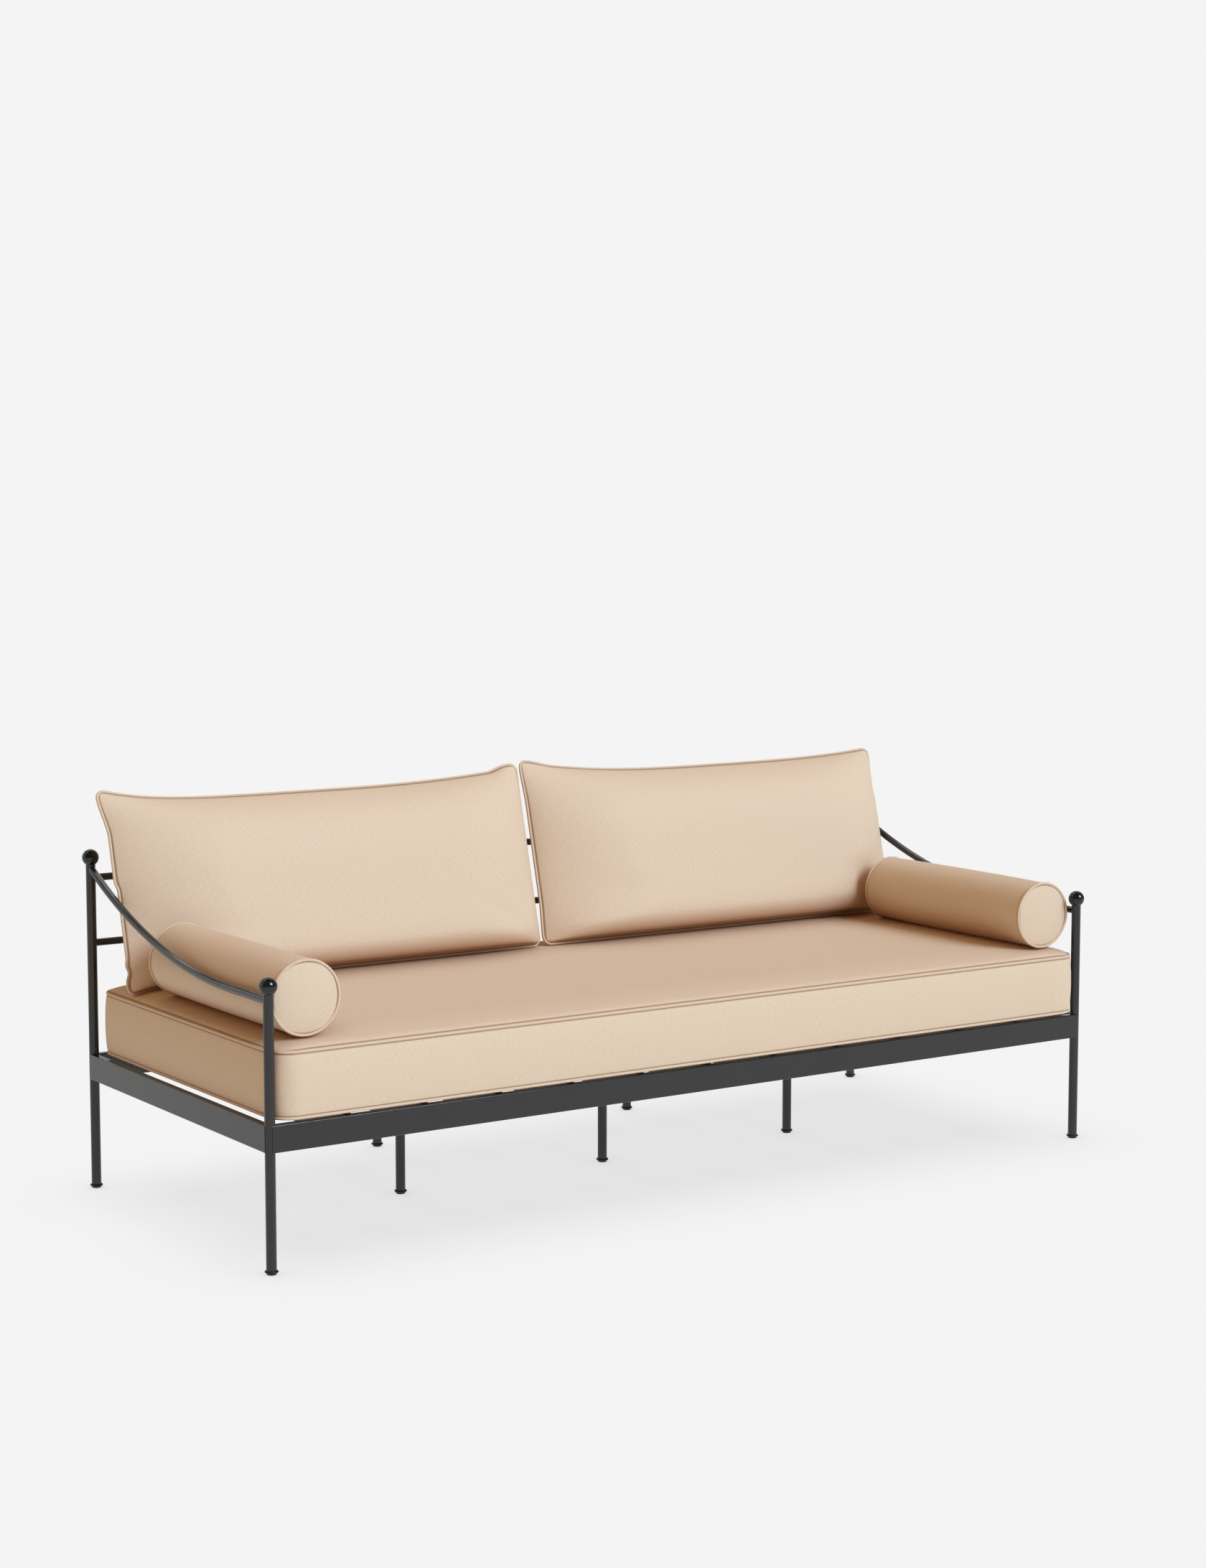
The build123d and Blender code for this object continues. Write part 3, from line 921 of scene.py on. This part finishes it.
@dataclass(frozen=True)
class EdgeShape:
    """How a back cushion's sewn edge departs from its rectangle. Outer means the arm's side.

    Attributes:
        top_draw: How far the top edge's middle is drawn down.
        inner_ear: Height of the inner top corner over that.
        inner_knob: Part of the inner ear that stands up only close to the corner.
        outer_ear: Height of the outer top corner over that.
        inner_reach: Power of the curve up to the inner corner; a low one starts far out.
        outer_reach: Power of the curve up to the outer corner.
        inner_flare: How far the inner corners lean towards the other cushion.
        spill: How far the outer edge stands out over and under the arm.
        flare: How far the outer top corner leans out.
        droop: How far the outer bottom corner hangs down over the seat's crown.
        pucker_at: Height of a pucker in the outer edge, from the middle.
        pucker: Depth of that pucker.
    """

    top_draw: float
    inner_ear: float
    inner_knob: float
    outer_ear: float
    inner_reach: float
    outer_reach: float
    inner_flare: float
    spill: float
    flare: float
    droop: float
    pucker_at: float
    pucker: float


BACK_EDGES = {
    Side.LEFT: EdgeShape(
        top_draw=28.0 * MM,
        inner_ear=23.0 * MM,
        inner_knob=9.0 * MM,
        outer_ear=33.0 * MM,
        inner_reach=2.6,
        outer_reach=5.0,
        inner_flare=1.0 * MM,
        spill=6.0 * MM,
        flare=17.5 * MM,
        droop=17.0 * MM,
        pucker_at=-166.0 * MM,
        pucker=7.0 * MM,
    ),
    Side.RIGHT: EdgeShape(
        top_draw=30.0 * MM,
        inner_ear=37.0 * MM,
        inner_knob=4.0 * MM,
        outer_ear=16.0 * MM,
        inner_reach=2.8,
        outer_reach=3.5,
        inner_flare=5.0 * MM,
        spill=0.0,
        flare=3.5 * MM,
        droop=9.0 * MM,
        pucker_at=100.0 * MM,
        pucker=2.0 * MM,
    ),
}


@dataclass
class BackCushion:
    """Leaning knife-edge cushion: two swelling panels sewn to one cord, with ears at the corners.

    Attributes:
        upholstery: The cloths.
        side: Which of the two it is.
        corner: Radius of the outline's corners.
        front_fill: How far the front panel stands off the edge plane.
        rear_fill: How far the rear panel does.
        bottom_run: Distance over which the panels rise from the bottom edge.
        bottom_power: Power of that rise; a low one is blunt.
        top_run: The same from the top edge.
        top_power: Its power.
        left_run: The same from the left edge.
        left_power: Its power.
        right_run: The same from the right edge.
        right_power: Its power.
        pucker_width: Half-width of the pucker in the outer edge.
        arm_high: Top of the part of the outer edge that passes the arm, from the middle, as the seat lifts.
        arm_low: Bottom of that part.
        arm_blend: Distance over which the edge comes back out past it.
        knob: Where the inner ear's knob starts and how far on it is full, as shares of the half-width.
        lean: Where the corners start to lean and how far on they lean fully, as shares of the half-height.
        droop_reach: Power by which the droop gathers at the outer corner.
        press_reach: Power by which the pucker and the arm's press gather at the outer edge.
        columns: Grid steps across.
        rows: Grid steps up.
        piping_points: Points along the loop of piping.
        filling: How the cover is swollen.
    """

    upholstery: Upholstery
    side: Side
    corner: float = 19.0 * MM
    front_fill: float = 84.0 * MM
    rear_fill: float = 86.0 * MM
    bottom_run: float = 42.0 * MM
    bottom_power: float = 0.3
    top_run: float = 200.0 * MM
    top_power: float = 0.55
    left_run: float = 230.0 * MM
    left_power: float = 0.85
    right_run: float = 230.0 * MM
    right_power: float = 0.5
    pucker_width: float = 13.0 * MM
    arm_high: float = -4.0 * MM
    arm_low: float = -136.0 * MM
    arm_blend: float = 22.0 * MM
    knob: Span = (0.84, 0.1)
    lean: Span = (0.5, 0.45)
    droop_reach: int = 8
    press_reach: int = 6
    columns: int = 116
    rows: int = 54
    piping_points: int = 560
    filling: Filling = Filling(pressure=4.0, most=5.0 * MM)

    def __post_init__(self) -> None:
        """Take the edge plane's place, lean and size from the piping's node."""
        low, high = box_corners(f"{self.side.label}_back_piping")
        half = (high - low) / 2 - CORD / 2
        self.half_x = half[0]
        self.half_y = math.hypot(half[1], half[2])
        self.origin = (low + high) / 2
        sine, cosine = half[1] / self.half_y, half[2] / self.half_y
        self.axes = np.array([[1.0, 0.0, 0.0], [0.0, sine, cosine], [0.0, -cosine, sine]])

    def shape_edge(self, x: np.ndarray, y: np.ndarray) -> tuple[np.ndarray, np.ndarray]:
        """Draw in the edges between the ears.

        With p and q from -1 to 1 across and up the panel, the top goes down by its draw and comes up
        towards each ear as a power of p; the sides flare at the ears, and the outer one stands out except
        where the arm presses on it. Each change fades to nothing at the panel's middle.

        Args:
            x: Places across the panel.
            y: Places up the panel.

        Returns:
            The moved places.
        """
        shape = BACK_EDGES[self.side]
        p = x / self.half_x * self.side.value
        q = y / self.half_y
        outer, inner = np.clip(p, 0, 1), np.clip(-p, 0, 1)
        knob_start, knob_length = self.knob
        lean_start, lean_length = self.lean
        ears = shape.outer_ear * outer**shape.outer_reach + shape.inner_ear * inner**shape.inner_reach
        ears = ears + shape.inner_knob * ease((inner - knob_start) / knob_length)
        drooped = shape.droop * outer**self.droop_reach * np.clip(-q, 0, 1)
        lift = (ears - shape.top_draw) * np.clip(q, 0, 1) - drooped
        pucker = shape.pucker * np.exp(-(((y - shape.pucker_at) / self.pucker_width) ** 2))
        over, under = ease((y - self.arm_high) / self.arm_blend), ease((self.arm_low - y) / self.arm_blend)
        pressed = shape.spill * (1 - over - under)
        out = outer * (shape.flare * ease((q - lean_start) / lean_length) + shape.spill)
        out = out - outer**self.press_reach * (pucker + pressed)
        lean = inner * shape.inner_flare * ease((np.abs(q) - lean_start) / lean_length)
        return x + self.side.value * (out - lean), y + lift

    def cover(self) -> tuple[Cover, np.ndarray]:
        """Join the front and rear panels at their shared rim.

        Each panel stands off the edge plane by fill * g(x) g(y), g being the swell from each pair of edges.

        Returns:
            The closed cover, and the numbers of its seam's points.
        """
        p, q = np.meshgrid(spread(self.columns), spread(self.rows))
        from_x, from_y = self.half_x * (1 - np.abs(p)), self.half_y * (1 - np.abs(q))
        left = rise(from_x, self.left_run, self.left_power)
        right = rise(from_x, self.right_run, self.right_power)
        bottom = rise(from_y, self.bottom_run, self.bottom_power)
        top = rise(from_y, self.top_run, self.top_power)
        swell = np.where(p < 0, left, right) * np.where(q < 0, bottom, top)
        x, y = round_corners(p * self.half_x, q * self.half_y, self.half_x, self.half_y, self.corner)
        flat = np.stack([x, y], axis=-1).reshape(-1, 2)
        x, y = self.shape_edge(x, y)
        front = np.stack([x, y, self.front_fill * swell], axis=-1).reshape(-1, 3)
        rear = np.stack([x, y, -self.rear_fill * swell], axis=-1).reshape(-1, 3)
        faces = grid_faces(self.rows + 1, self.columns + 1)
        edge = rim(self.rows + 1, self.columns + 1)
        inside = np.setdiff1d(np.arange(len(front)), edge)
        number = np.arange(len(front))
        number[inside] = len(front) + np.arange(len(inside))
        seam = np.minimum(from_x, from_y).ravel()
        cover = Cover(
            np.concatenate([front, rear[inside]]) @ self.axes + self.origin,
            np.concatenate([faces, number[faces[:, ::-1]]]),
            np.concatenate([flat[faces], flat[faces[:, ::-1]]]),
            np.concatenate([seam, seam[inside]]),
        )
        return cover, edge

    def build(self) -> None:
        """Make the cushion and its loop of piping."""
        name = f"{self.side.label}_back_cushion"
        cover, held = self.cover()
        self.upholstery.add_cover(name, cover, held, self.filling, fill=0.75)
        outline = rectangle_loop(self.half_x, self.half_y, self.corner, self.piping_points)
        x, y = self.shape_edge(*outline)
        loop = np.column_stack([x, y, np.zeros_like(x)]) @ self.axes + self.origin
        self.upholstery.add_piping(f"{self.side.label}_back_piping", name, [loop], self.axes[2])


@dataclass
class TubeFrame:
    """The welded frame: its solids stay, and each slot gets its coating.

    Attributes:
        coats: Material of each slot.
    """

    coats: dict[str, bpy.types.Material]

    def dress(self) -> None:
        """Give every rigid node the material of its slot."""
        for part in frame["record"]["subparts"]:
            coat = self.coats.get(part["material_slot"])
            if coat is None:
                continue
            for slot in frame["nodes"][part["node"]].material_slots:
                slot.material = coat


@dataclass
class Studio:
    """Pale floor without edges, soft light, and the camera.

    Attributes:
        backdrop: Colour of the floor and of what lies behind it.
        sky: Linear colour of the light from all round, level with the floor.
        sky_rise: How much stronger it is overhead, as a share.
        gloss: Light that gloss mirrors from the front and from behind the sofa.
        gloss_turn: Depths, from -1 to 1, of a mirrored direction that sees the first and the second.
        strip_gap: Half the distance between the strips of that light, in the direction's height from -1 to 1.
        strip_edge: Shares of that gap at which a strip starts and is full.
        strip_level: Share of the mirrored light between the strips, and in them.
        floor_light: Linear colour of the light that the floor throws up.
        key: Linear colour and strength of the key light.
        key_height_deg: Its height over the floor.
        key_turn_deg: Its turn to the right of the front.
        key_angle_deg: How wide it looks from the sofa.
        shadow_depth: How dark the shadow on the floor is, from 0 to 1.
        shadow_reach: How far off the sofa still shades the floor.
        shadow_samples: Rays that look for it.
        floor_size: Side of the floor.
        eye: Place of the camera.
        yaw_deg: Its turn to the right of straight on.
        pitch_deg: Its tilt down.
        focal_px: Its focal length in the photo's pixels.
        frame_px: Long side of the photo.
        sensor_mm: Long side of the sensor.
    """

    backdrop: str = "#F4F4F4"
    sky: tuple[float, float, float] = (0.32, 0.19, 0.095)
    sky_rise: float = 0.9
    gloss: Span = (0.14, 0.9)
    gloss_turn: Span = (-0.1, 0.5)
    strip_gap: float = 0.125
    strip_edge: Span = (0.45, 0.85)
    strip_level: Span = (0.06, 2.8)
    floor_light: tuple[float, float, float] = (0.75, 0.67, 0.615)
    key: tuple[float, float, float] = (1.95, 2.38, 2.92)
    key_height_deg: float = 33.5
    key_turn_deg: float = 22.0
    key_angle_deg: float = 28.0
    shadow_depth: float = 0.37
    shadow_reach: float = 0.36
    shadow_samples: int = 24
    floor_size: float = 60.0
    eye: tuple[float, float, float] = (-3.51273, -5.26050, 1.52519)
    yaw_deg: float = 33.748
    pitch_deg: float = 6.0
    focal_px: float = 3963.46
    frame_px: float = 2184.0
    sensor_mm: float = 36.0

    def gloss_level(self, tree: Tree, depth: Socket, height: Socket) -> Socket:
        """Work out the light that gloss mirrors: level strips one over another, brighter behind the sofa.

        Args:
            tree: Node tree of the world.
            depth: Depth of the direction back along the ray.
            height: Height of that direction.

        Returns:
            The strength of the light.
        """
        behind = add_node(
            tree,
            "ShaderNodeMapRange",
            {"interpolation_type": "SMOOTHSTEP"},
            {
                "Value": depth,
                "From Min": -self.gloss_turn[0],
                "From Max": -self.gloss_turn[1],
                "To Min": self.gloss[0],
                "To Max": self.gloss[1],
            },
        ).outputs["Result"]
        wave = add_node(
            tree, "ShaderNodeMath", {"operation": "PINGPONG"}, {0: height, 1: self.strip_gap}
        ).outputs["Value"]
        strip = add_node(
            tree,
            "ShaderNodeMapRange",
            {"interpolation_type": "SMOOTHSTEP"},
            {
                "Value": wave,
                "From Min": self.strip_edge[0] * self.strip_gap,
                "From Max": self.strip_edge[1] * self.strip_gap,
                "To Min": self.strip_level[0],
                "To Max": self.strip_level[1],
            },
        ).outputs["Result"]
        return add_node(
            tree, "ShaderNodeMath", {"operation": "MULTIPLY"}, {0: behind, 1: strip}
        ).outputs["Value"]

    def light_world(self) -> None:
        """Dim warm sky; the camera sees the backdrop instead, and gloss sees strips of light."""
        world = bpy.data.worlds.new("studio")
        bpy.context.scene.world = world
        world.use_nodes = True
        tree = world.node_tree
        tree.nodes.clear()
        # In a world, the normal points back along the ray, so signs are turned round where it is used.
        backwards = add_node(tree, "ShaderNodeNewGeometry").outputs["Normal"]
        parts = add_node(tree, "ShaderNodeSeparateXYZ", inputs={"Vector": backwards}).outputs
        strength = add_node(
            tree,
            "ShaderNodeMath",
            {"operation": "MULTIPLY_ADD"},
            {0: parts["Z"], 1: -self.sky_rise, 2: 1.0},
        ).outputs["Value"]
        sky = add_node(
            tree, "ShaderNodeBackground", inputs={"Color": (*self.sky, 1.0), "Strength": strength}
        )
        level = self.gloss_level(tree, parts["Y"], parts["Z"])
        mirrored = add_node(
            tree, "ShaderNodeBackground", inputs={"Color": linear("#FFFFFF"), "Strength": level}
        )
        pale = add_node(tree, "ShaderNodeBackground", inputs={"Color": linear(self.backdrop)})
        path = add_node(tree, "ShaderNodeLightPath").outputs
        lit = add_node(
            tree,
            "ShaderNodeMixShader",
            inputs={0: path["Is Glossy Ray"], 1: sky.outputs[0], 2: mirrored.outputs[0]},
        )
        seen = add_node(
            tree,
            "ShaderNodeMath",
            {"operation": "MAXIMUM"},
            {0: path["Is Camera Ray"], 1: path["Is Transmission Ray"]},
        ).outputs["Value"]
        mix = add_node(tree, "ShaderNodeMixShader", inputs={0: seen, 1: lit.outputs[0], 2: pale.outputs[0]})
        add_node(tree, "ShaderNodeOutputWorld", inputs={"Surface": mix.outputs[0]})

    def lay_floor(self) -> None:
        """Floor that shows the backdrop's colour and keeps a faint shadow of the sofa."""
        half = self.floor_size / 2
        mesh = bpy.data.meshes.new("floor")
        corners = [(-half, -half, 0), (half, -half, 0), (half, half, 0), (-half, half, 0)]
        mesh.from_pydata(corners, [], [(0, 1, 2, 3)])
        floor = bpy.data.objects.new("floor", mesh)
        bpy.context.scene.collection.objects.link(floor)
        # Seamless paper: matt and even, so floor and backdrop are one colour with no edge between them.
        material, tree = empty_material("seamless paper")
        paper = add_node(tree, "ShaderNodeEmission", inputs={"Color": (*self.floor_light, 1.0)})
        openness = add_node(
            tree,
            "ShaderNodeAmbientOcclusion",
            {"samples": self.shadow_samples},
            {"Distance": self.shadow_reach},
        ).outputs["AO"]
        level = add_node(
            tree,
            "ShaderNodeMapRange",
            inputs={"Value": openness, "To Min": 1.0 - self.shadow_depth, "To Max": 1.0},
        ).outputs["Result"]
        shown = add_node(
            tree, "ShaderNodeEmission", inputs={"Color": linear(self.backdrop), "Strength": level}
        )
        path = add_node(tree, "ShaderNodeLightPath").outputs
        seen = path["Is Camera Ray"]
        for ray in ("Is Glossy Ray", "Is Transmission Ray"):
            larger = add_node(tree, "ShaderNodeMath", {"operation": "MAXIMUM"}, {0: seen, 1: path[ray]})
            seen = larger.outputs["Value"]
        mix = add_node(
            tree, "ShaderNodeMixShader", inputs={0: seen, 1: paper.outputs[0], 2: shown.outputs[0]}
        )
        add_node(tree, "ShaderNodeOutputMaterial", inputs={"Surface": mix.outputs[0]})
        mesh.materials.append(material)

    def hang_key(self) -> None:
        """Soft key light from the front, a little to the right."""
        lamp = bpy.data.lights.new("key", "SUN")
        lamp.energy = max(self.key)
        lamp.color = [value / lamp.energy for value in self.key]
        lamp.angle = math.radians(self.key_angle_deg)
        key = bpy.data.objects.new("key", lamp)
        key.rotation_euler = (math.radians(90 - self.key_height_deg), 0.0, math.radians(self.key_turn_deg))
        bpy.context.scene.collection.objects.link(key)

    def set_camera(self) -> None:
        """Camera at the photograph's viewing angle."""
        camera = bpy.data.cameras.new("camera")
        camera.sensor_width = self.sensor_mm
        camera.lens = self.sensor_mm * self.focal_px / self.frame_px
        camera.clip_end = 2 * self.floor_size
        view = bpy.data.objects.new("camera", camera)
        view.location = self.eye
        view.rotation_euler = (math.radians(90 - self.pitch_deg), 0.0, -math.radians(self.yaw_deg))
        bpy.context.scene.collection.objects.link(view)
        bpy.context.scene.camera = view

    def build(self) -> None:
        """Set up the whole studio."""
        bpy.context.scene.view_settings.view_transform = "Standard"
        self.light_world()
        self.lay_floor()
        self.hang_key()
        self.set_camera()


# Polyester powder, melted and cured on steel tube: near black, with soft lines of light along each tube.
FRAME_COAT = SmoothCoat(
    name="satin powder coat, charcoal",
    colour="#202122",
    cloudy_colour="#272829",
    roughness=0.13,
    specular=0.5,
    peel_mm=1.6,
    peel_depth_mm=0.006,
)
# The same powder in gloss black: a dark mirror with a small clear highlight.
BALL_COAT = SmoothCoat(
    name="gloss powder coat, black",
    colour="#121314",
    cloudy_colour="#161718",
    roughness=0.12,
    specular=0.5,
    peel_mm=2.2,
    peel_depth_mm=0.004,
)
# Polyethylene with the mould's fine grain: dull black.
GLIDE_PLASTIC = SmoothCoat(
    name="moulded polyethylene, black",
    colour="#0E0E0F",
    cloudy_colour="#131314",
    roughness=0.55,
    specular=0.4,
    peel_mm=0.9,
    peel_depth_mm=0.03,
)
# Acrylic dyed in the fibre and woven plain: matt and sandy, with a fine even grain.
PANEL_CLOTH = OutdoorCanvas(
    name="acrylic canvas, sand",
    yarn="#E3D4BF",
    shadow_yarn="#D0BC9E",
    # Stitches, and painted shade of the crease beside each seam.
    stitch_and_crease_shade="#8A6440",
    # Painted shade in folds, creases and under other parts.
    fold="#B06E34",
    weave=Weave.PANEL,
)
# The same canvas round a cord, with its threads at a slant, painted a shade darker: painted shade that holds
# down the light the raised cord catches.
PIPING_CLOTH = OutdoorCanvas(
    name="acrylic canvas, sand, cut on the bias",
    yarn="#DFCFB9",
    shadow_yarn="#CDB99C",
    # Stitches, and painted shade of the crease beside each seam.
    stitch_and_crease_shade="#8A6440",
    # Painted shade in folds, creases and under other parts.
    fold="#B06E34",
    weave=Weave.BIAS,
)


def main() -> None:
    """Build the studio and every part of the sofa."""
    logging.basicConfig(level=logging.INFO, format="%(name)s: %(message)s")
    Studio().build()
    coats = {
        "frame_coat": FRAME_COAT.material(),
        "finial": BALL_COAT.material(),
        "glide": GLIDE_PLASTIC.material(),
    }
    TubeFrame(coats).dress()
    upholstery = Upholstery(PANEL_CLOTH.material(), PIPING_CLOTH.material())
    SeatCushion(upholstery).build()
    for side in Side:
        BackCushion(upholstery, side).build()
        Bolster(upholstery, side).build()


if __name__ == "__main__":
    main()
